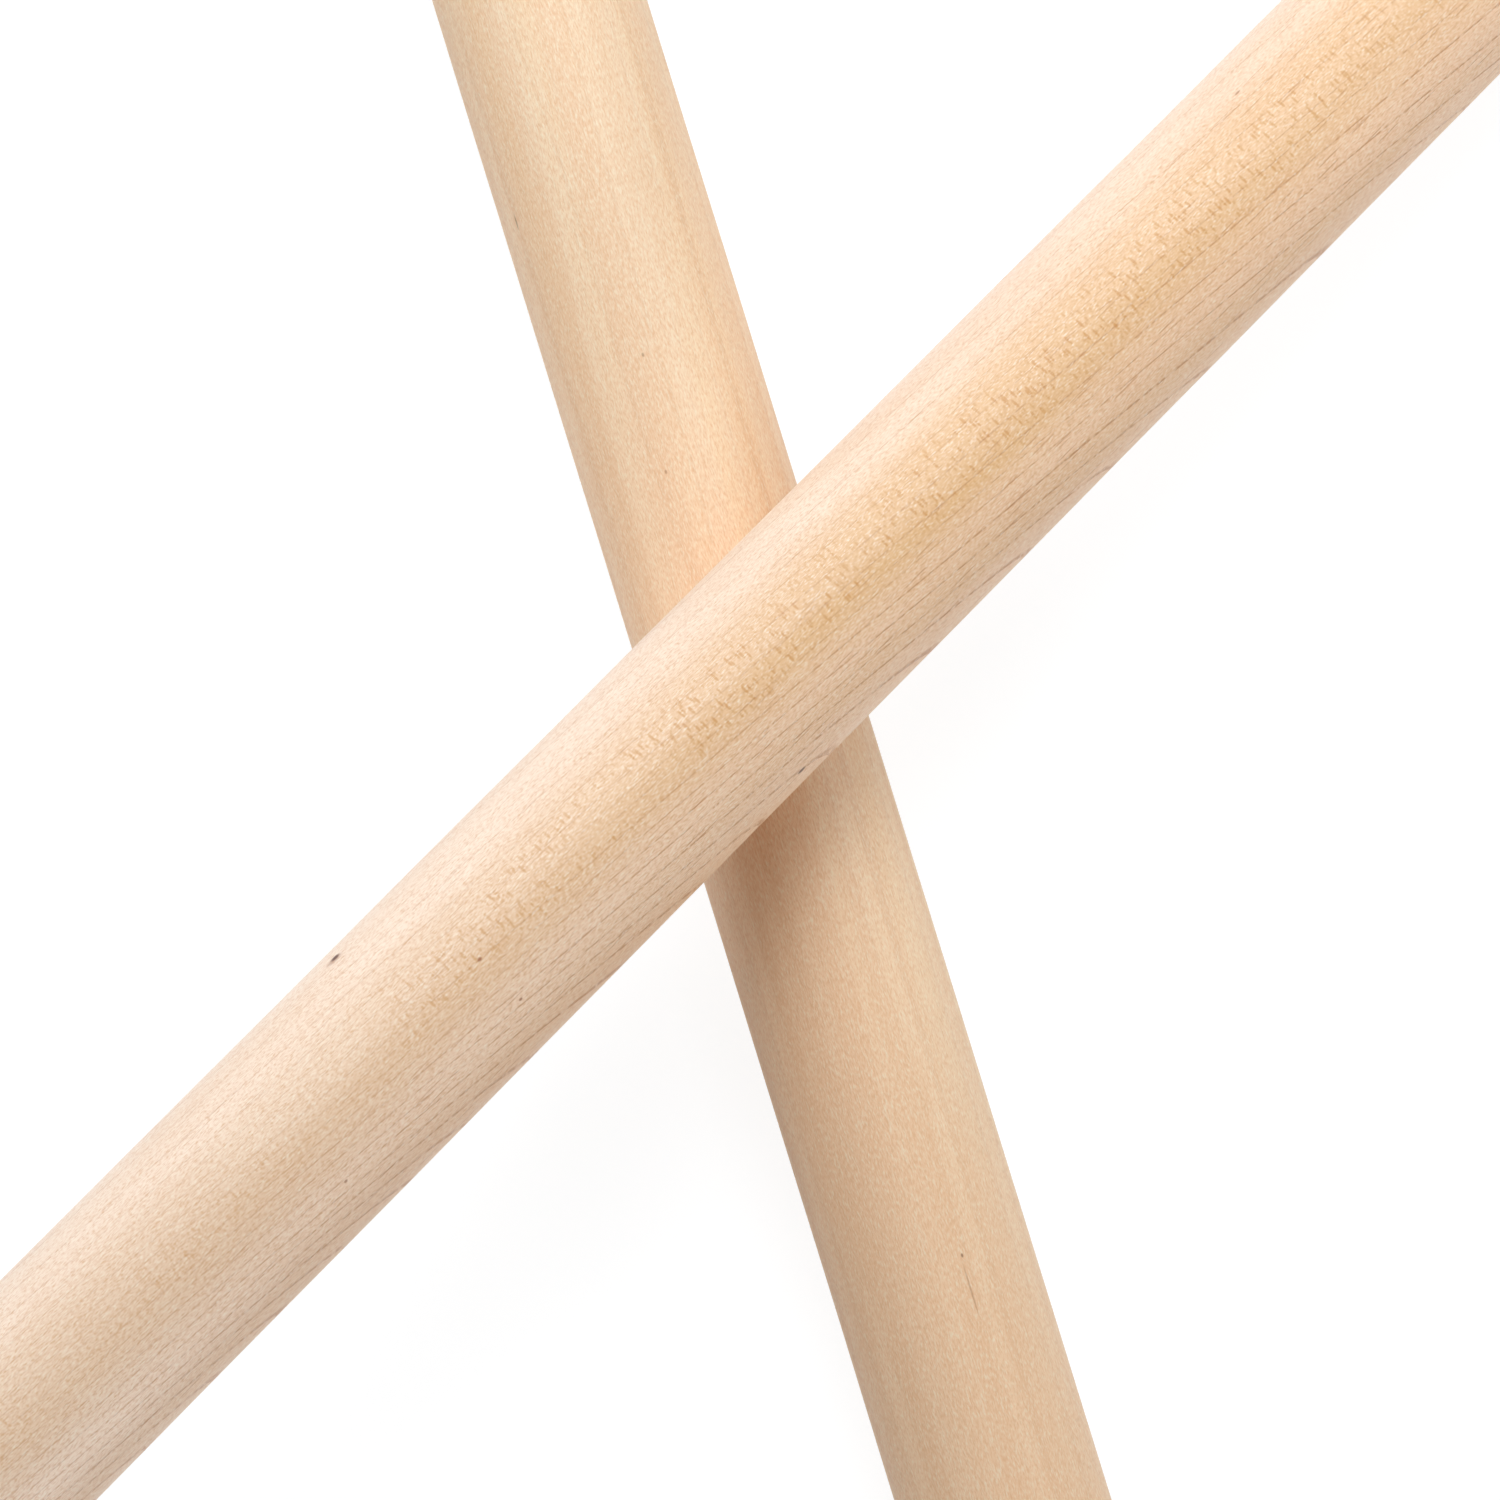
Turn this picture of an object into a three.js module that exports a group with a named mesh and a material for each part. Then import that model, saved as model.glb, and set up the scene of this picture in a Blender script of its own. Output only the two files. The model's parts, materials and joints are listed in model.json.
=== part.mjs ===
// A pair of claves: two plain round hardwood sticks that are tapped together.
// The struck clave lies on the table. The striking clave rests across it, with one
// end down on the table and the other end raised.
// Millimetres, +Z up, origin under the middle of the pair on the table.

import * as THREE from "three";

// Driving dimensions
const stickDiameter = 18;
const stickLength = 203;
const rimRadius = 1.5; // the rounded edge round each flat end
const contactGap = 0.3; // clearance where the sticks cross

// Directions of the two axes seen from above, in degrees from +X
const struckHeading = 107.15;
const strikingHeading = 45.56;

// Where the sticks cross, measured along each of them
const crossingFromStruckEnd = stickLength / 2;
const crossingFromRaisedEnd = 100.4;

// Fineness of the turned surface
const sides = 64;
const rimSteps = 5;

const stickRadius = stickDiameter / 2;
const facetRadius = stickRadius * Math.cos(Math.PI / sides); // from the axis to a facet
const upright = 90; // heading of the unturned stick, which is made along +Y

// Outline of half a stick, from the axis at one end to the axis at the other.
function stickOutline() {
  const outline = [new THREE.Vector2(0, -stickLength / 2)];
  const rimCentre = stickLength / 2 - rimRadius;
  const quarter = Math.PI / 2;
  for (const end of [-1, 1]) {
    for (let step = 0; step <= rimSteps; step += 1) {
      const turn = (step / rimSteps) * quarter;
      const angle = end < 0 ? turn - quarter : turn;
      const radial = stickRadius - rimRadius + rimRadius * Math.cos(angle);
      const along = end * rimCentre + rimRadius * Math.sin(angle);
      outline.push(new THREE.Vector2(radial, along));
    }
  }
  outline.push(new THREE.Vector2(0, stickLength / 2));
  return outline;
}

// One turned stick along +Y, with a facet facing straight down.
function makeStick(name, material) {
  const halfFacet = Math.PI / sides;
  const geometry = new THREE.LatheGeometry(stickOutline(), sides, halfFacet);
  const stick = new THREE.Mesh(geometry, material);
  stick.name = name;
  stick.rotation.order = "ZXY";
  return stick;
}

// Turns a stick to a heading and a pitch, and puts its middle at a point.
function placeStick(stick, heading, pitch, middle) {
  stick.rotation.z = THREE.MathUtils.degToRad(heading - upright);
  stick.rotation.x = pitch;
  stick.position.copy(middle);
}

// Unit vector along an axis with a heading in degrees and a pitch in radians.
function axisDirection(heading, pitch) {
  const turn = THREE.MathUtils.degToRad(heading);
  const level = Math.cos(pitch);
  return new THREE.Vector3(level * Math.cos(turn), level * Math.sin(turn), Math.sin(pitch));
}

// From the struck clave's axis to the striking clave's, square to both, where they cross.
function crossingOffset(pitch) {
  const struck = axisDirection(struckHeading, 0);
  const striking = axisDirection(strikingHeading, pitch);
  const offset = striking.cross(struck).normalize();
  return offset.multiplyScalar(stickDiameter + contactGap);
}

// Pitch at which the lower rim of the striking clave just meets the table.
function restingPitch() {
  const rounds = 40;
  const lengthToRim = stickLength - crossingFromRaisedEnd - rimRadius;
  let pitch = 0;
  for (let round = 0; round < rounds; round += 1) {
    const crossingHeight = facetRadius + crossingOffset(pitch).z;
    const rimHeight = rimRadius + (stickRadius - rimRadius) * Math.cos(pitch);
    pitch = -Math.asin((crossingHeight - rimHeight) / lengthToRim);
  }
  return pitch;
}

const struckWood = new THREE.MeshStandardMaterial({
  color: 0xe9cba6,
  roughness: 0.6,
  metalness: 0,
});

const strikingWood = new THREE.MeshStandardMaterial({
  color: 0xe3c49c,
  roughness: 0.55,
  metalness: 0,
});

// The crossing lies above the group's own origin, so both sticks are placed from it.
function makeStruckClave() {
  const stick = makeStick("struck_clave", struckWood);
  const pastCrossing = stickLength / 2 - crossingFromStruckEnd;
  const middle = axisDirection(struckHeading, 0).multiplyScalar(pastCrossing);
  middle.z += facetRadius;
  placeStick(stick, struckHeading, 0, middle);
  return stick;
}

function makeStrikingClave() {
  const stick = makeStick("striking_clave", strikingWood);
  const pitch = restingPitch();
  const pastCrossing = stickLength / 2 - crossingFromRaisedEnd;
  const middle = axisDirection(strikingHeading, pitch).multiplyScalar(pastCrossing);
  middle.add(crossingOffset(pitch));
  middle.z += facetRadius;
  placeStick(stick, strikingHeading, pitch, middle);
  return stick;
}

const claves = new THREE.Group();
claves.add(makeStruckClave(), makeStrikingClave());

// Centre the pair over the origin, standing on z = 0.
const box = new THREE.Box3().setFromObject(claves, true);
const centre = box.getCenter(new THREE.Vector3());
claves.position.set(-centre.x, -centre.y, -box.min.z);

export default claves;
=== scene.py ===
# A pair of claves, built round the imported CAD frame: two plain round sticks of pale
# hardwood, one lying on a studio floor and the other resting across it.

import json
import math

import bpy
import numpy as np
from mathutils import Matrix, Vector, noise


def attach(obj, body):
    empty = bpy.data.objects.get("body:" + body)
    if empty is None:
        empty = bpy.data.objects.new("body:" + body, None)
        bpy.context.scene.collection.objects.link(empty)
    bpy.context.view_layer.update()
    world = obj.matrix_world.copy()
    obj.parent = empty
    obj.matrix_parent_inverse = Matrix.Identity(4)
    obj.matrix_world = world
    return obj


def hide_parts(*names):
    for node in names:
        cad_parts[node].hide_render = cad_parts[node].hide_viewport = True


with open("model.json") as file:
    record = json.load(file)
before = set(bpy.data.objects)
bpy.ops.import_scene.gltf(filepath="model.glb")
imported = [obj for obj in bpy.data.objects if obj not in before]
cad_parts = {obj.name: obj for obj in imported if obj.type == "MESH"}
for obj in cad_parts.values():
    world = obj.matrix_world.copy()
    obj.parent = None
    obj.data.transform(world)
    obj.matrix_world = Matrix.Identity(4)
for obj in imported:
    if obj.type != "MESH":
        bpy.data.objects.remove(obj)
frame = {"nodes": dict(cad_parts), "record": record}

MM = 0.001
UP = Vector((0.0, 0.0, 1.0))
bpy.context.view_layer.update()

# ---------------------------------------------------------------- the sticks in the frame


class Stick:
    """Where a packed stick lies: its middle, its directions, its length and its radius."""

    def __init__(self, node, first_end, last_end):
        ends = {m["name"]: Vector(m["pos_m"]) for m in frame["record"]["mounts"]}
        start = ends[f"{node}_{first_end}"]
        finish = ends[f"{node}_{last_end}"]
        self.node = node
        self.middle = (start + finish) / 2
        self.length = (finish - start).length
        self.along = (finish - start).normalized()
        self.top = (UP - self.along * UP.dot(self.along)).normalized()
        self.side = self.along.cross(self.top)
        points = [v.co - self.middle for v in frame["nodes"][node].data.vertices]
        self.radius = max((p - self.along * p.dot(self.along)).length for p in points)


struck = Stick("struck_clave", "near_end", "far_end")
striking = Stick("striking_clave", "raised_end", "lowered_end")

# ---------------------------------------------------------------- stick meshes

RIM_RADIUS = 1.5 * MM  # rounded edge of each end
RIM_STEPS = 8
FACE_STEPS = 10  # rings on an end face, from its rim to its middle
RING_SPACING = 0.75 * MM
SEGMENTS = 128  # points round a ring
WAVER = 0.03 * MM  # how far the sanded surface strays from a true cylinder
WAVER_LENGTH = 22 * MM  # how far apart its highs and lows are, along the stick
RIM_WAVER = 0.12 * MM  # the hand-eased edge strays more
RIM_LUMPS = 3  # how much closer together its highs and lows are, round the stick
BAKE_GAP = 1.0 * MM  # space between the islands of the bake layout


def stick_outline(stick):
    """Rings from the middle of one end face to the middle of the other.

    Each row is the ring's radius, its place along the stick, the length of outline
    from the face's middle, and how squarely its surface faces the end.
    """
    flat = stick.radius - RIM_RADIUS
    half = stick.length / 2
    rows = []
    for radius in np.linspace(0, flat, FACE_STEPS + 1)[1:]:
        rows.append((radius, -half, radius, 1.0))
    for angle in np.linspace(0, math.pi / 2, RIM_STEPS + 1)[1:]:
        radius = flat + RIM_RADIUS * math.sin(angle)
        place = -half + RIM_RADIUS * (1 - math.cos(angle))
        rows.append((radius, place, flat + RIM_RADIUS * angle, math.cos(angle)))
    side_half = half - RIM_RADIUS
    count = 2 * round(side_half / RING_SPACING)
    for place in np.linspace(-side_half, side_half, count + 1)[1:-1]:
        rows.append((stick.radius, place, 0.0, 0.0))
    ends = FACE_STEPS + RIM_STEPS
    rows += [(radius, -place, run, facing) for radius, place, run, facing in rows[ends - 1::-1]]
    return np.array(rows)


def surface_waver(radial, place, facing, seed):
    """How far a point of the surface stands out from the true stick, in metres."""
    side, top = radial
    broad = noise.noise(Vector((side, top, place / WAVER_LENGTH + seed))) * WAVER
    rim = noise.noise(Vector((side * RIM_LUMPS, top * RIM_LUMPS, place + seed))) * RIM_WAVER
    on_edge = 4 * facing * (1 - facing)  # up to 1 on the rounded edge, 0 on the side and the face
    return broad + rim * on_edge


def stick_points(stick, outline, seed):
    """Stick-local points (side, top, along), true and as turned, ring by ring."""
    angles = np.arange(SEGMENTS) / SEGMENTS * math.tau + math.pi
    circle = np.stack([np.sin(angles), np.cos(angles)], axis=1)
    true = []
    turned = []
    for radius, place, _, facing in outline:
        for radial in circle:
            out = surface_waver(radial, place, facing, seed)
            true.append((radial[0] * radius, radial[1] * radius, place))
            worn = radius + out * radius / stick.radius
            turned.append((radial[0] * worn, radial[1] * worn, place))
    half = stick.length / 2
    for place in (-half, half):
        true.append((0.0, 0.0, place))
        turned.append((0.0, 0.0, place))
    return np.array(true), np.array(turned)


def stick_faces(rings):
    """Quads between the rings and a fan of triangles at each end, facing out."""
    faces = []
    for ring in range(rings - 1):
        for step in range(SEGMENTS):
            after = (step + 1) % SEGMENTS
            low = ring * SEGMENTS
            high = low + SEGMENTS
            faces.append((low + step, low + after, high + after, high + step))
    first_middle = rings * SEGMENTS
    last = (rings - 1) * SEGMENTS
    for step in range(SEGMENTS):
        after = (step + 1) % SEGMENTS
        faces.append((first_middle, after, step))
        faces.append((first_middle + 1, last + step, last + after))
    return faces


def bake_layout(stick, outline, faces):
    """A flat layout of the surface: the side in two halves, and the two ends as discs."""
    rings = len(outline)
    ends = FACE_STEPS + RIM_STEPS
    side_half = stick.length / 2 - RIM_RADIUS
    around = math.tau * stick.radius
    disc = outline[ends - 1][2]
    sheet = side_half + 2 * disc + 3 * BAKE_GAP
    middle_ring = (rings - 1) / 2
    corners = []

    def side_corner(ring, turn, second):
        place = outline[ring][1] if second else outline[ring][1] + side_half
        lift = BAKE_GAP + (around + BAKE_GAP if second else 0)
        return (BAKE_GAP + place) / sheet, (lift + turn * around) / sheet

    def end_corner(run, turn, second):
        middle = (2 * BAKE_GAP + side_half + disc, BAKE_GAP + disc + (2 * disc + BAKE_GAP) * second)
        angle = turn * math.tau
        return (middle[0] + run * math.sin(angle)) / sheet, (middle[1] + run * math.cos(angle)) / sheet

    for number, face in enumerate(faces):
        if len(face) == 4:
            ring = number // SEGMENTS
            step = number % SEGMENTS
            turns = (step, step + 1, step + 1, step)
            corner_rings = (ring, ring, ring + 1, ring + 1)
            on_end = ring < ends - 1 or ring >= rings - ends
            second = ring + 0.5 > middle_ring
            for corner_ring, turn in zip(corner_rings, turns):
                share = turn / SEGMENTS
                if on_end:
                    corners.append(end_corner(outline[corner_ring][2], share, second))
                else:
                    corners.append(side_corner(corner_ring, share, second))
        else:
            fan = number - (rings - 1) * SEGMENTS
            step = fan // 2
            second = fan % 2
            run = outline[0][2]
            turns = (step, step + 1) if second else (step + 1, step)
            corners.append(end_corner(0.0, 0.0, second))
            for turn in turns:
                corners.append(end_corner(run, turn / SEGMENTS, second))
    return np.array(corners)


def make_stick(name, stick, seed):
    """The turned stick as a mesh where the CAD says, with the coordinates its wood needs."""
    outline = stick_outline(stick)
    true, turned = stick_points(stick, outline, seed)
    faces = stick_faces(len(outline))
    axes = np.array([stick.side, stick.top, stick.along])
    points = turned @ axes + np.array(stick.middle)

    mesh = bpy.data.meshes.new(name)
    mesh.from_pydata(points.tolist(), [], faces)
    mesh.polygons.foreach_set("use_smooth", [True] * len(faces))

    grain = mesh.attributes.new("grain", "FLOAT_VECTOR", "POINT")
    grain.data.foreach_set("vector", (true / MM).astype(np.float32).ravel())
    facing = np.repeat(outline[:, 3], SEGMENTS)
    facing = np.append(facing, (1.0, 1.0))
    end_face = mesh.attributes.new("end_face", "FLOAT", "POINT")
    end_face.data.foreach_set("value", facing.astype(np.float32))

    layout = mesh.uv_layers.new(name="OFBake")
    corners = bake_layout(stick, outline, faces)
    layout.data.foreach_set("uv", corners.astype(np.float32).ravel())
    mesh.update()

    piece = bpy.data.objects.new(name, mesh)
    bpy.context.scene.collection.objects.link(piece)
    return piece


# ---------------------------------------------------------------- wood

# Lengths are in millimetres, and a noise's scales are one over a length: across, across, along.
# A step is where a smooth change starts and where it is done.
GRAIN_CORE = 0.6  # a grain is solid out to this share of its size, and fades from there
SWAY_SCALES = (0.12, 0.12, 0.02)  # the slow bends of the trunk
UNEVEN_SCALES = (0.35, 1.0, 1.0)  # good and bad years
RING_CROWDING = 14.0  # rings are e times narrower this much further out
LATE_SHARPNESS = 3.0  # how suddenly the wood darkens towards the end of a year
LINE_CORE = 0.4  # a ring's line is solid over this share of its width
BREAK_SCALES = (1.0, 1.0, 1.5)  # where a ring's line is broken
BREAK_STEP = (0.38, 0.56)
BREAK_LEAST = 0.18  # how strong the line still is where it is broken
VESSEL_CELL = (0.36, 0.36, 9.0)
SHORT_VESSEL_CELL = (0.28, 0.28, 2.5)
SHORT_VESSEL_SHARE = 0.5
RAY_SIZE = 0.36  # a ray's thickness, as a share of its cell
CLUMP_SCALES = (0.3, 0.3, 0.09)  # where rays stand close together
CLUMP_STEP = (0.42, 0.64)
CLUMP_FIGURE = 0.3  # how much closer they stand where the figure is strongest
RAY_STRENGTH = 0.55  # how strongly a ray shows with no figure
RAY_FIGURE = 1.1  # and how much more with it
FINE_RAY_LEAST = 0.3
STREAK_SCALES = (0.32, 0.32, 0.012)
STREAK_STEP = (0.35, 0.65)
CLOUD_STEP = (0.38, 0.62)
FIGURE_PLACE = 20.0  # how far along from its middle a stick's ray figure is strongest
FIGURE_REACH = 90.0  # and how far from there it fades out
PAINTED_LIGHT_HALF = 9.0  # half the width over which the painted light tone of one flank turns into that of the other
FLANK_YELLOW = 0.3  # how yellow a streak is on the plus-side flank of the painted light blend
PAINTED_LIGHT_LINES_LEAST = 0.4  # how strong the lines are on the minus-side flank, where they fade with the painted highlight
BAND_FADE = 0.10  # how much fainter they are in the yellow band
NAP_DARK_STEP = (0.55, 0.25)
NAP_LIGHT_STEP = (0.50, 0.75)
NAP_GLOSS_STEP = (0.3, 0.7)
ROUGHNESS_SPREAD = 0.06
BUMP_DISTANCE = 0.05 * MM
MARK_CORE = 0.35  # a mark is at its darkest out to this share of its size
END_TINT = (0.80, 0.74, 0.66)  # end grain drinks in more finish, and looks darker
END_LATE_SHARE = 0.45  # how much darker late wood is on an end

# A mix node's colour sockets, which share their names with its number sockets.
MIX_FIRST = 6
MIX_SECOND = 7
MIX_RESULT = 2


class Graph:
    """A node tree, with one short call for each kind of node it needs."""

    def __init__(self, tree):
        self.tree = tree

    def put(self, socket, value):
        if isinstance(value, bpy.types.NodeSocket):
            self.tree.links.new(value, socket)
        else:
            socket.default_value = value

    def node(self, kind, inputs=(), **settings):
        made = self.tree.nodes.new(kind)
        for key, value in settings.items():
            setattr(made, key, value)
        for socket, value in inputs:
            self.put(made.inputs[socket], value)
        return made

    def attribute(self, name, output):
        return self.node("ShaderNodeAttribute", attribute_name=name).outputs[output]

    def math(self, operation, first, second=0.0, third=0.0):
        inputs = ((0, first), (1, second), (2, third))
        return self.node("ShaderNodeMath", inputs, operation=operation).outputs[0]

    def vector(self, operation, first, second=(0.0, 0.0, 0.0)):
        inputs = ((0, first), (1, second))
        made = self.node("ShaderNodeVectorMath", inputs, operation=operation)
        return made.outputs["Value" if operation == "LENGTH" else "Vector"]

    def split(self, vector):
        return self.node("ShaderNodeSeparateXYZ", ((0, vector),)).outputs

    def join(self, x, y, z):
        return self.node("ShaderNodeCombineXYZ", ((0, x), (1, y), (2, z))).outputs[0]

    def noise(self, vector, scales, detail, shift):
        """Noise whose blobs are one over each scale long, in millimetres."""
        scaled = self.vector("MULTIPLY", vector, scales)
        moved = self.vector("ADD", scaled, (shift, shift, shift))
        inputs = (("Vector", moved), ("Scale", 1.0), ("Detail", detail))
        return self.node("ShaderNodeTexNoise", inputs).outputs[0]

    def grains(self, vector, cell, size, shift):
        """Long grains, one in each cell given in millimetres: 1 inside one, 0 between them."""
        scaled = self.vector("DIVIDE", vector, cell)
        moved = self.vector("ADD", scaled, (shift, shift, shift))
        inputs = (("Vector", moved), ("Scale", 1.0))
        away = self.node("ShaderNodeTexVoronoi", inputs).outputs["Distance"]
        return self.ramp(away, size, size * GRAIN_CORE)

    def ramp(self, value, low, high, out_low=0.0, out_high=1.0):
        """A smooth step from out_low to out_high, as the value goes from low to high."""
        inputs = ((0, value), (1, low), (2, high), (3, out_low), (4, out_high))
        made = self.node("ShaderNodeMapRange", inputs, interpolation_type="SMOOTHSTEP")
        return made.outputs[0]

    def mix(self, share, first, second):
        made = self.node("ShaderNodeMix", data_type="RGBA")
        self.put(made.inputs["Factor"], share)
        self.put(made.inputs[MIX_FIRST], first)
        self.put(made.inputs[MIX_SECOND], second)
        return made.outputs[MIX_RESULT]


def new_material(name):
    """A new material, its node tree and its shader."""
    material = bpy.data.materials.new(name)
    material.use_nodes = True
    tree = material.node_tree
    return material, Graph(tree), tree.nodes["Principled BSDF"]


def srgb(red, green, blue):
    """A colour given in 0 to 255 screen values, as the linear values a node takes."""
    linear = []
    for value in (red, green, blue):
        share = value / 255
        linear.append(share / 12.92 if share <= 0.04045 else ((share + 0.055) / 1.055) ** 2.4)
    return (*linear, 1.0)


# Each pattern is drawn from its own part of the noise, this far from the wood's seed.
SHIFTS = {
    "sway": 0,
    "broken": 2,
    "vessel": 3,
    "short_vessel": 4,
    "clump": 5,
    "ray": 7,
    "fine_ray": 11,
    "nap": 17,
    "streak": 23,
    "cloud": 29,
}


def pattern_shift(wood, pattern):
    return wood["seed"] + SHIFTS[pattern]


def log_coordinates(g, own, wood):
    """Millimetres in the log: out from the pith, round the pith, and along the fibres."""
    turned = g.node(
        "ShaderNodeVectorRotate",
        (("Vector", own), ("Angle", math.radians(wood["bark_angle"]))),
        rotation_type="Z_AXIS",
    ).outputs[0]
    x, y, z = g.split(turned)
    x = g.math("SUBTRACT", x, g.math("MULTIPLY", z, wood["slope_x"]))
    y = g.math("SUBTRACT", y, g.math("MULTIPLY", z, wood["slope_y"]))
    sway = g.noise(g.join(x, y, z), SWAY_SCALES, 1.0, pattern_shift(wood, "sway"))
    x = g.math("MULTIPLY_ADD", g.math("SUBTRACT", sway, 0.5), wood["sway"], x)
    from_pith = g.math("ADD", x, wood["pith_distance"])
    squares = g.math("MULTIPLY_ADD", from_pith, from_pith, g.math("MULTIPLY", y, y))
    out = g.math("SUBTRACT", g.math("SQRT", squares), wood["pith_distance"])
    around = g.math("MULTIPLY", g.math("ARCTAN2", y, from_pith), wood["pith_distance"])
    return g.join(out, around, z), out


def ring_tones(g, log, out, wood):
    """How late in its year the wood grew, and the thin broken line that ends each year."""
    seed = wood["seed"]
    uneven = g.noise(g.join(out, seed, seed), UNEVEN_SCALES, 1.0, 0.0)
    crowded = g.math("EXPONENT", g.math("DIVIDE", out, RING_CROWDING))
    grown = g.math("MULTIPLY", crowded, RING_CROWDING / wood["ring_width"])
    years = g.math("MULTIPLY_ADD", uneven, wood["ring_uneven"], grown)
    year = g.math("FRACT", years)
    late = g.math("POWER", year, LATE_SHARPNESS)
    # The line is as thick in a narrow ring as in a wide one, so it goes by what is left to grow.
    full_width = wood["ring_width"]
    left = g.math("SUBTRACT", full_width, g.math("MULTIPLY", year, full_width))
    left = g.math("DIVIDE", left, crowded)
    line = g.ramp(left, wood["line_width"], wood["line_width"] * LINE_CORE)
    breaks = g.noise(log, BREAK_SCALES, 3.0, pattern_shift(wood, "broken"))
    return late, g.math("MULTIPLY", line, g.ramp(breaks, *BREAK_STEP, BREAK_LEAST, 1.0))


def vessels(g, own, wood):
    """Long thin tubes and shorter ones, hairlines where the surface cuts them lengthwise."""
    long = g.grains(own, VESSEL_CELL, wood["vessel_size"], pattern_shift(wood, "vessel"))
    short = g.grains(own, SHORT_VESSEL_CELL, wood["vessel_size"], pattern_shift(wood, "short_vessel"))
    return g.math("MULTIPLY_ADD", short, SHORT_VESSEL_SHARE, long)


def ray_flecks(g, log, off_band, figure, wood):
    """Ribbons that run from pith to bark, flecks where the surface lies along them."""
    banded = g.ramp(off_band, *wood["fleck_band"])
    clump = g.noise(log, CLUMP_SCALES, 2.0, pattern_shift(wood, "clump"))
    clump = g.math("MULTIPLY_ADD", figure, CLUMP_FIGURE, clump)
    clump = g.ramp(clump, *CLUMP_STEP, wood["fleck_least"], 1.0)
    strength = g.math("MULTIPLY_ADD", figure, RAY_FIGURE, RAY_STRENGTH)
    flecked = g.math("MULTIPLY", g.math("MULTIPLY", banded, clump), strength)
    ray = g.grains(log, wood["ray_cell"], RAY_SIZE, pattern_shift(wood, "ray"))
    fine_ray = g.grains(log, wood["fine_ray_cell"], RAY_SIZE, pattern_shift(wood, "fine_ray"))
    fine_strength = g.math("MULTIPLY_ADD", flecked, 1 - FINE_RAY_LEAST, FINE_RAY_LEAST)
    return g.math("MULTIPLY", ray, flecked), g.math("MULTIPLY", fine_ray, fine_strength)


def base_tone(g, log, in_band, painted_light_side, figure, wood):
    """The broad tones of the wood under every fine pattern: a yellower band and streaks, and painted
    light and shade, a blend from one flank's tone to the other's across the stick.
    """
    streak = g.ramp(g.noise(log, STREAK_SCALES, 2.0, pattern_shift(wood, "streak")), *STREAK_STEP)
    yellow = g.math("MULTIPLY", g.math("ADD", streak, figure), FLANK_YELLOW)
    yellow = g.math("MULTIPLY", painted_light_side, yellow)
    band_yellow = g.math("ADD", wood["band_yellow"], figure)
    yellow = g.math("MULTIPLY_ADD", in_band, band_yellow, yellow)
    flank = g.mix(painted_light_side, wood["painted_light_minus_side_tone"], wood["painted_light_plus_side_tone"])
    return g.mix(yellow, flank, wood["yellow_tone"])


def mark_share(g, own, mark):
    """How strongly a small natural mark shows at a point: 1 in its middle, 0 outside."""
    turn = math.radians(mark["turn"])
    radius = struck.radius / MM  # both sticks are as thick
    centre = (radius * math.sin(turn), radius * math.cos(turn), mark["along"])
    away = g.vector("SUBTRACT", own, centre)
    scaled = g.vector("MULTIPLY", away, (1 / mark["width"], 1 / mark["width"], 1 / mark["length"]))
    return g.ramp(g.vector("LENGTH", scaled), 1.0, MARK_CORE, 0.0, mark["share"])


def end_tone(g, colour, late, wood):
    """The colour with the end grain darkened where the surface faces an end."""
    end_face = g.attribute("end_face", "Fac")
    late_end = g.math("MULTIPLY", g.math("MULTIPLY", late, end_face), END_LATE_SHARE)
    darkened = g.vector("MULTIPLY", g.mix(late_end, colour, wood["line_tone"]), END_TINT)
    return g.mix(end_face, colour, darkened)


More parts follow.
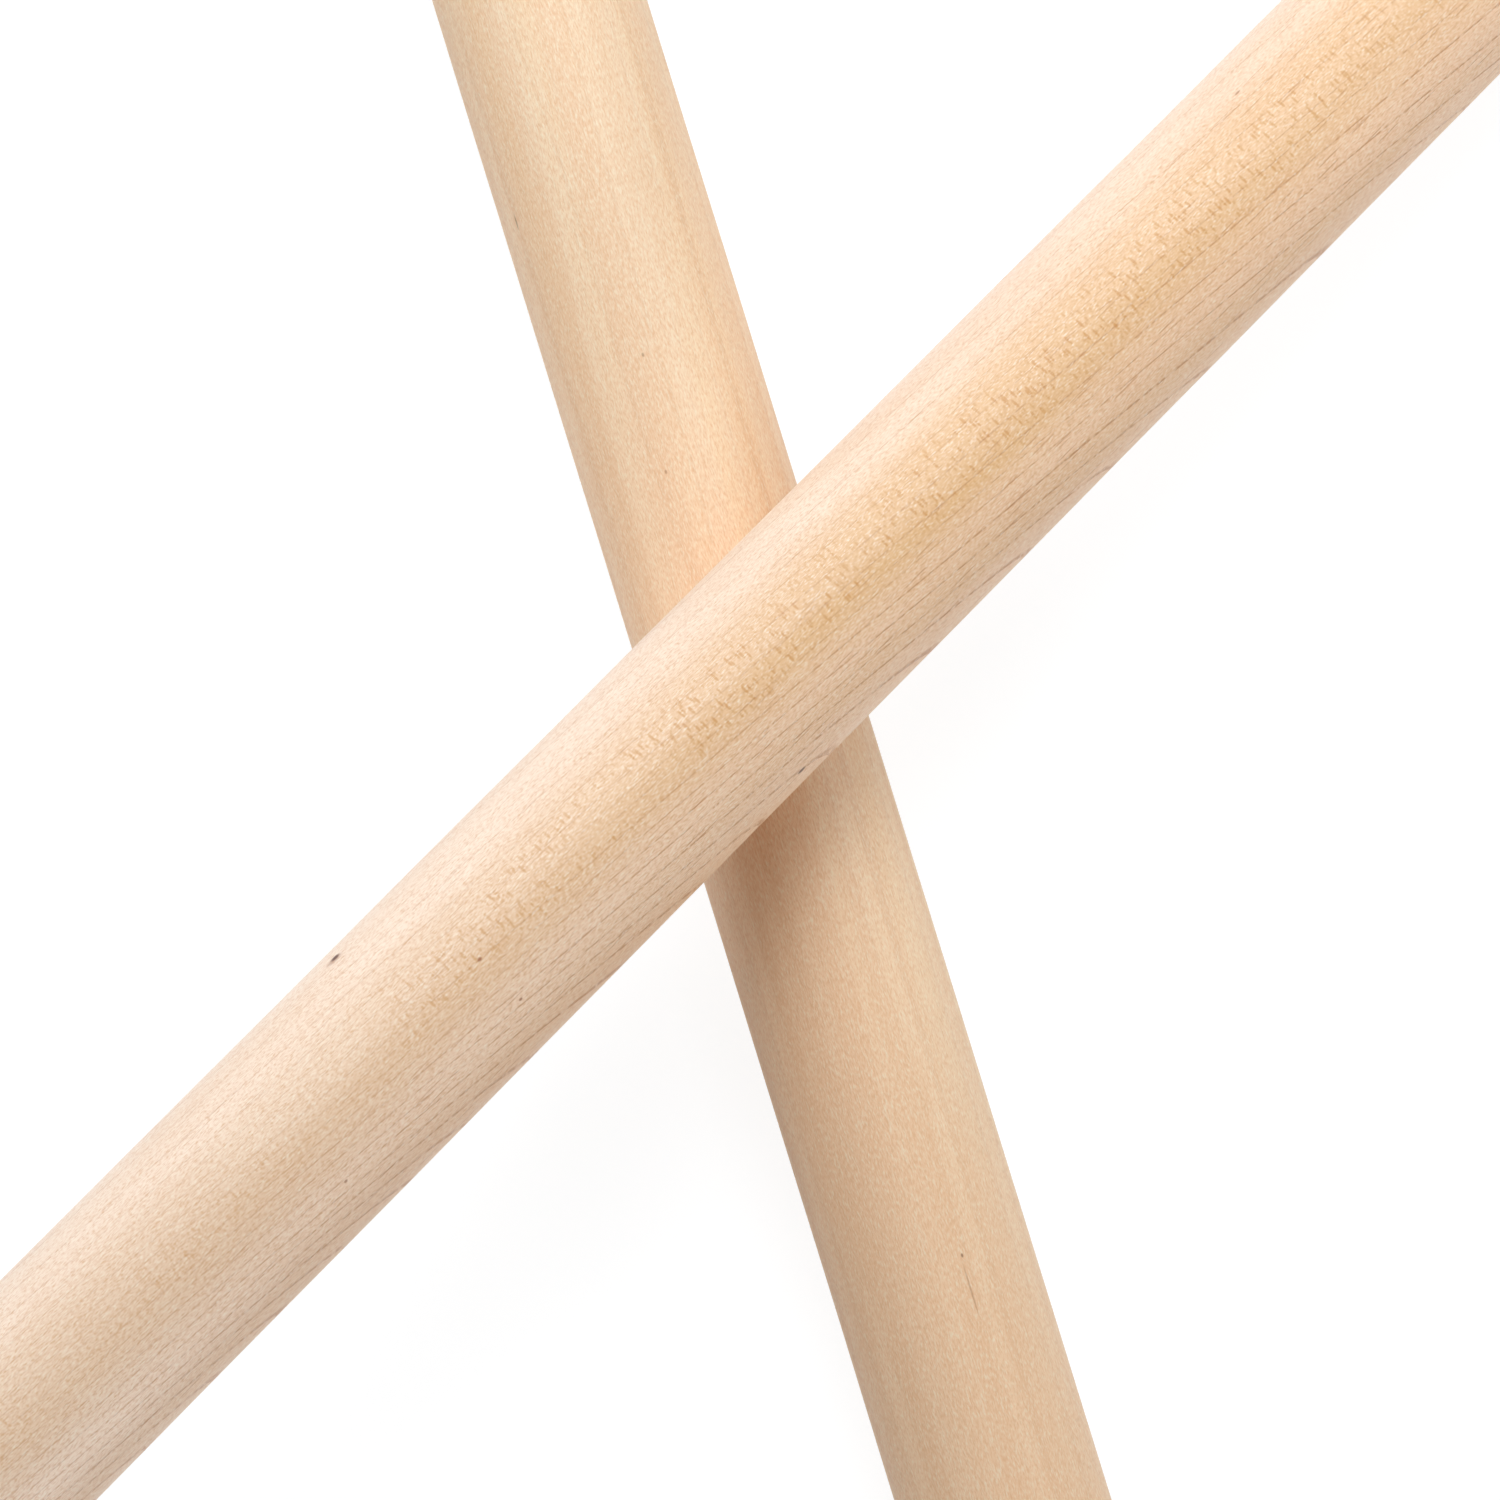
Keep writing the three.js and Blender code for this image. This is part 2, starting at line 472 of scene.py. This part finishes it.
def wood_material(name, wood):
    """Solid maple cut from a log: rings, vessels and rays run through the whole stick."""
    material, g, shader = new_material(name)
    own = g.attribute("grain", "Vector")
    side, _, along = g.split(own)
    log, out = log_coordinates(g, own, wood)

    from_figure = g.math("ABSOLUTE", g.math("SUBTRACT", along, FIGURE_PLACE))
    figure = g.ramp(from_figure, FIGURE_REACH, 0.0, 0.0, wood["figure"])
    # Painted light and shade: a blend across the stick from the minus-side flank to the plus-side
    # flank, drifting along it, gives each flank its own lit or shaded tone.
    painted_light_place = g.math("MULTIPLY_ADD", along, wood["painted_light_slope"], side)
    painted_light_side = g.ramp(painted_light_place, -PAINTED_LIGHT_HALF, PAINTED_LIGHT_HALF)
    off_band = g.math("ABSOLUTE", g.math("SUBTRACT", side, wood["band_middle"]))
    in_band = g.ramp(off_band, *wood["yellow_band"])

    late, ring_line = ring_tones(g, log, out, wood)
    ray, fine_ray = ray_flecks(g, log, off_band, figure, wood)
    clear_of_band = g.math("MULTIPLY_ADD", in_band, -BAND_FADE, 1.0)
    # The lines fade towards the minus-side flank with the painted light and shade, and in the yellow
    # band.
    line_fade_painted_light_and_band = g.math("MULTIPLY_ADD", painted_light_side, 1 - PAINTED_LIGHT_LINES_LEAST, PAINTED_LIGHT_LINES_LEAST)
    line_fade_painted_light_and_band = g.math("MULTIPLY", clear_of_band, line_fade_painted_light_and_band)
    ring_line = g.math("MULTIPLY", ring_line, line_fade_painted_light_and_band)
    vessel = g.math("MULTIPLY", vessels(g, own, wood), line_fade_painted_light_and_band)
    cloud = g.noise(log, wood["cloud_scales"], 1.0, pattern_shift(wood, "cloud"))
    cloud = g.ramp(cloud, *CLOUD_STEP)

    colour = base_tone(g, log, in_band, painted_light_side, figure, wood)
    layers = (
        (cloud, "cloud_share", "dark_tone"),
        (late, "late_share", "dark_tone"),
        (fine_ray, "fine_ray_share", "ray_tone"),
        (ray, "ray_share", "ray_tone"),
        (ring_line, "ring_share", "line_tone"),
        (vessel, "vessel_share", "line_tone"),
    )
    for pattern, share, tone in layers:
        colour = g.mix(g.math("MULTIPLY", pattern, wood[share]), colour, wood[tone])

    # The nap of the sanded surface: short dark and light strokes along the stick.
    nap = g.noise(own, wood["nap_scales"], 2.0, pattern_shift(wood, "nap"))
    for step, tone in ((NAP_DARK_STEP, "dark_tone"), (NAP_LIGHT_STEP, "light_tone")):
        colour = g.mix(g.ramp(nap, *step, 0.0, wood["nap_share"]), colour, wood[tone])
    for mark in wood["marks"]:
        colour = g.mix(mark_share(g, own, mark), colour, mark["tone"])
    colour = end_tone(g, colour, late, wood)

    height = g.math("MULTIPLY_ADD", vessel, -wood["vessel_depth"], nap)
    bump = g.node(
        "ShaderNodeBump",
        (("Strength", wood["bump"]), ("Distance", BUMP_DISTANCE), ("Height", height)),
    )
    roughest = wood["roughness"] + ROUGHNESS_SPREAD
    smoothest = wood["roughness"] - ROUGHNESS_SPREAD
    g.put(shader.inputs["Base Color"], colour)
    g.put(shader.inputs["Roughness"], g.ramp(nap, *NAP_GLOSS_STEP, roughest, smoothest))
    g.put(shader.inputs["Normal"], bump.outputs["Normal"])
    shader.inputs["Specular IOR Level"].default_value = wood["gloss"]
    return material


KNOT = srgb(92, 42, 12)
RUST = srgb(158, 92, 50)

# How each stick was cut from its log: bark_angle is the way to the bark, in degrees from the
# stick's side down towards its underside, and slope_x and slope_y are how far the log leans from
# the stick. Widths, cells and bands are in millimetres, a band as where it fades out and where it
# is full. Shares are how much of a tone a pattern mixes in. A mark's turn is in degrees from the
# top towards the side.
STRIKING_WOOD = {
    "seed": 4.0,
    "bark_angle": -4.5,
    "slope_x": 0.075,
    "slope_y": 0.0,
    "sway": 0.9,
    "pith_distance": 55.0,
    "ring_width": 1.5,
    "ring_uneven": 1.6,
    "line_width": 0.125,
    "ray_cell": (1.7, 0.85, 0.46),
    "fine_ray_cell": (0.60, 0.50, 0.36),
    "band_middle": -0.6,
    "fleck_band": (3.6, 1.44),
    "yellow_band": (6.0, 1.08),
    "fleck_least": 0.15,
    "figure": 0.50,
    "painted_light_slope": 0.08,
    "cloud_scales": (0.15, 0.15, 0.05),
    "nap_scales": (11.0, 11.0, 2.4),
    "vessel_size": 0.21,
    # Painted light: the minus-side flank is whiter, a painted highlight, and the plus-side flank is
    # more saturated, painted shade.
    "painted_light_minus_side_tone": srgb(247, 219, 196),
    "painted_light_plus_side_tone": srgb(247, 205, 170),
    "yellow_tone": srgb(229, 183, 132),
    "dark_tone": srgb(215, 163, 116),
    "light_tone": srgb(247, 228, 204),
    "line_tone": srgb(180, 106, 44),
    "ray_tone": srgb(208, 144, 72),
    "band_yellow": 0.37,
    "cloud_share": 0.10,
    "late_share": 0.10,
    "fine_ray_share": 0.50,
    "ray_share": 0.80,
    "ring_share": 0.70,
    "vessel_share": 0.55,
    "nap_share": 0.70,
    "marks": [
        {"turn": -64, "along": -48.4, "width": 0.62, "length": 1.10, "share": 0.5, "tone": RUST},
        {"turn": -65, "along": -48.2, "width": 0.42, "length": 0.60, "share": 1.0, "tone": KNOT},
        {"turn": 67, "along": -9.4, "width": 0.28, "length": 0.60, "share": 0.9, "tone": KNOT},
        {"turn": 3, "along": -40.8, "width": 0.22, "length": 0.30, "share": 0.8, "tone": RUST},
        {"turn": 34.5, "along": -40.5, "width": 0.18, "length": 0.25, "share": 0.8, "tone": RUST},
        {"turn": 36.7, "along": -61.1, "width": 0.18, "length": 0.25, "share": 0.7, "tone": RUST},
        {"turn": -40, "along": 59.0, "width": 0.16, "length": 0.45, "share": 0.6, "tone": RUST},
    ],
    "vessel_depth": 0.4,
    "bump": 0.5,
    "roughness": 0.40,
    "gloss": 0.5,
}

STRUCK_WOOD = {
    "seed": 31.0,
    "bark_angle": 80.0,
    "slope_x": 0.01,
    "slope_y": 0.05,
    "sway": 1.2,
    "pith_distance": 70.0,
    "ring_width": 2.4,
    "ring_uneven": 2.2,
    "line_width": 0.30,
    "ray_cell": (4.5, 0.55, 1.0),
    "fine_ray_cell": (2.2, 0.34, 0.60),
    "band_middle": 0.0,
    "fleck_band": (20.0, 8.0),
    "yellow_band": (20.0, 6.0),
    "fleck_least": 0.30,
    "figure": 0.0,
    "painted_light_slope": 0.16,
    "cloud_scales": (0.30, 0.30, 0.015),
    "nap_scales": (8.5, 8.5, 2.2),
    "vessel_size": 0.20,
    # Painted light: the plus-side flank is paler, a painted rim reflection.
    "painted_light_minus_side_tone": srgb(250, 208, 172),
    "painted_light_plus_side_tone": srgb(247, 218, 186),
    "yellow_tone": srgb(246, 207, 160),
    "dark_tone": srgb(232, 180, 136),
    "light_tone": srgb(250, 230, 200),
    "line_tone": srgb(191, 138, 98),
    "ray_tone": srgb(209, 159, 112),
    "band_yellow": 0.3,
    "cloud_share": 0.28,
    "late_share": 0.15,
    "fine_ray_share": 0.25,
    "ray_share": 0.15,
    "ring_share": 0.12,
    "vessel_share": 0.12,
    "nap_share": 0.68,
    "marks": [
        {"turn": -5.6, "along": 27.7, "width": 0.15, "length": 0.25, "share": 0.4, "tone": KNOT},
        {"turn": -12.5, "along": 17.5, "width": 0.15, "length": 0.25, "share": 0.5, "tone": RUST},
        {"turn": -60, "along": 42.4, "width": 0.14, "length": 0.90, "share": 0.5, "tone": KNOT},
        {"turn": 16, "along": -54.0, "width": 0.15, "length": 0.25, "share": 0.6, "tone": KNOT},
        {"turn": 15, "along": -57.0, "width": 0.12, "length": 3.00, "share": 0.4, "tone": RUST},
    ],
    "vessel_depth": 0.3,
    "bump": 0.6,
    "roughness": 0.5,
    "gloss": 0.4,
}


def place_stick(name, stick, wood, slot):
    """A finished stick that stands for its CAD node and rides on the body of the same name."""
    piece = make_stick(name, stick, wood["seed"])
    piece.data.materials.append(wood_material(slot, wood))
    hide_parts(stick.node)
    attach(piece, stick.node)


place_stick("struck_stick", struck, STRUCK_WOOD, "struck_wood")
place_stick("striking_stick", striking, STRIKING_WOOD, "striking_wood")

# ---------------------------------------------------------------- studio

FLOOR_SIZE = 8.0
FLOOR_DROP = 0.05 * MM  # so that the waver of the sticks stays clear of the floor
FLOOR_COLOUR = (0.70, 0.70, 0.70, 1.0)
FLOOR_COLOUR_SEEN = (0.25, 0.25, 0.25, 1.0)
FLOOR_ROUGHNESS = 0.9
FLOOR_GLOW = (0.87, 0.45, 0.10)  # as seen, as mirrored in a gloss, and as light on the sticks
WORLD_GLOW = (1.0, 0.45, 0.02)
WHITE = (1.0, 1.0, 1.0, 1.0)
LAMP_COLOUR = (0.88, 0.945, 1.0)
LIGHT_AIM_HEIGHT = 0.02  # the lights point at the middle of the pair, above the floor

# Name, heading and height in degrees, distance in metres, size in metres, and power in watts.
LIGHTS = [
    ("key", 91, 55, 0.36, (0.24, 0.20), 1.03),
    ("left", 174, 42, 0.80, (0.5, 0.5), 2.2),
    ("low_right", 304, 14, 0.80, (0.5, 0.3), 3.0),
    ("right", 30, 25, 0.40, (0.22, 0.16), 0.42),
    ("rim", 135, 14, 0.80, (0.5, 0.3), 1.4),
]


def studio_glow(g, seen, mirrored, shed):
    """How strongly a surface glows where it is seen, mirrored in a gloss, or sheds light."""
    rays = g.node("ShaderNodeLightPath").outputs
    glow = g.math("MULTIPLY", rays["Is Camera Ray"], seen)
    glow = g.math("MULTIPLY_ADD", rays["Is Glossy Ray"], mirrored, glow)
    return g.math("MULTIPLY_ADD", rays["Is Diffuse Ray"], shed, glow)


def make_floor():
    """A pale floor, shown paler than the light it sheds, so that shadows on it stay faint."""
    half = FLOOR_SIZE / 2
    corners = [(-half, -half), (half, -half), (half, half), (-half, half)]
    mesh = bpy.data.meshes.new("floor")
    mesh.from_pydata([(x, y, -FLOOR_DROP) for x, y in corners], [], [(0, 1, 2, 3)])
    floor = bpy.data.objects.new("floor", mesh)
    bpy.context.scene.collection.objects.link(floor)
    material, g, shader = new_material("floor")
    seen = g.node("ShaderNodeLightPath").outputs["Is Camera Ray"]
    g.put(shader.inputs["Base Color"], g.mix(seen, FLOOR_COLOUR, FLOOR_COLOUR_SEEN))
    shader.inputs["Roughness"].default_value = FLOOR_ROUGHNESS
    shader.inputs["Specular IOR Level"].default_value = 0.0
    shader.inputs["Emission Color"].default_value = WHITE
    g.put(shader.inputs["Emission Strength"], studio_glow(g, *FLOOR_GLOW))
    material.cycles.emission_sampling = "NONE"
    mesh.materials.append(material)


def make_world():
    """A plain white studio all round."""
    world = bpy.data.worlds.new("studio")
    world.use_nodes = True
    g = Graph(world.node_tree)
    background = world.node_tree.nodes["Background"]
    background.inputs["Color"].default_value = WHITE
    g.put(background.inputs["Strength"], studio_glow(g, *WORLD_GLOW))
    bpy.context.scene.world = world


def make_light(name, azimuth, elevation, distance, size, power):
    """A soft box that faces the sticks from a heading and a height given in degrees."""
    heading = math.radians(azimuth)
    height = math.radians(elevation)
    level = Vector((math.cos(heading), math.sin(heading), 0.0)) * math.cos(height)
    away = level + UP * math.sin(height)
    lamp = bpy.data.lights.new(name, "AREA")
    lamp.shape = "RECTANGLE"
    lamp.size, lamp.size_y = size
    lamp.energy = power
    lamp.color = LAMP_COLOUR
    light = bpy.data.objects.new(name, lamp)
    light.location = away * distance + UP * LIGHT_AIM_HEIGHT
    light.rotation_euler = (-away).to_track_quat("-Z", "Y").to_euler()
    light.visible_camera = False
    bpy.context.scene.collection.objects.link(light)


make_floor()
make_world()
for light_values in LIGHTS:
    make_light(*light_values)

# ---------------------------------------------------------------- camera

CAMERA_SENSOR = 36.0  # mm wide
CAMERA_LENS = 143.7  # mm
CAMERA_DISTANCE = 512.2 * MM
CAMERA_TILT = 3.13  # degrees from straight down
CAMERA_HEADING = -116.1  # where it leans towards, in degrees from +X
CAMERA_AIM_X = 0.18 * MM  # from the crossing
CAMERA_AIM_Y = -7.73 * MM
CAMERA_CLIP = (0.01, 20.0)  # metres


def crossing_point():
    """The point on the struck stick's axis where the striking stick passes over it."""
    apart = striking.middle - struck.middle
    dot = struck.along.dot(striking.along)
    reach = (apart.dot(struck.along) - dot * apart.dot(striking.along)) / (1 - dot * dot)
    return struck.middle + struck.along * reach


def make_camera():
    """Almost straight above the crossing, leaning a little towards the viewer."""
    crossing = crossing_point()
    aim = Vector((crossing.x + CAMERA_AIM_X, crossing.y + CAMERA_AIM_Y, 2 * struck.radius))
    tilt = math.radians(CAMERA_TILT)
    heading = math.radians(CAMERA_HEADING)
    lean = math.sin(tilt)
    back = Vector((lean * math.cos(heading), lean * math.sin(heading), math.cos(tilt)))
    lens = bpy.data.cameras.new("camera")
    lens.lens = CAMERA_LENS
    lens.sensor_width = CAMERA_SENSOR
    lens.clip_start, lens.clip_end = CAMERA_CLIP
    camera = bpy.data.objects.new("camera", lens)
    right = Vector((0.0, 1.0, 0.0)).cross(back).normalized()
    turn = Matrix((right, back.cross(right), back)).transposed()
    camera.matrix_world = Matrix.Translation(aim + back * CAMERA_DISTANCE) @ turn.to_4x4()
    bpy.context.scene.collection.objects.link(camera)
    bpy.context.scene.camera = camera


make_camera()
bpy.context.scene.view_settings.view_transform = "Standard"
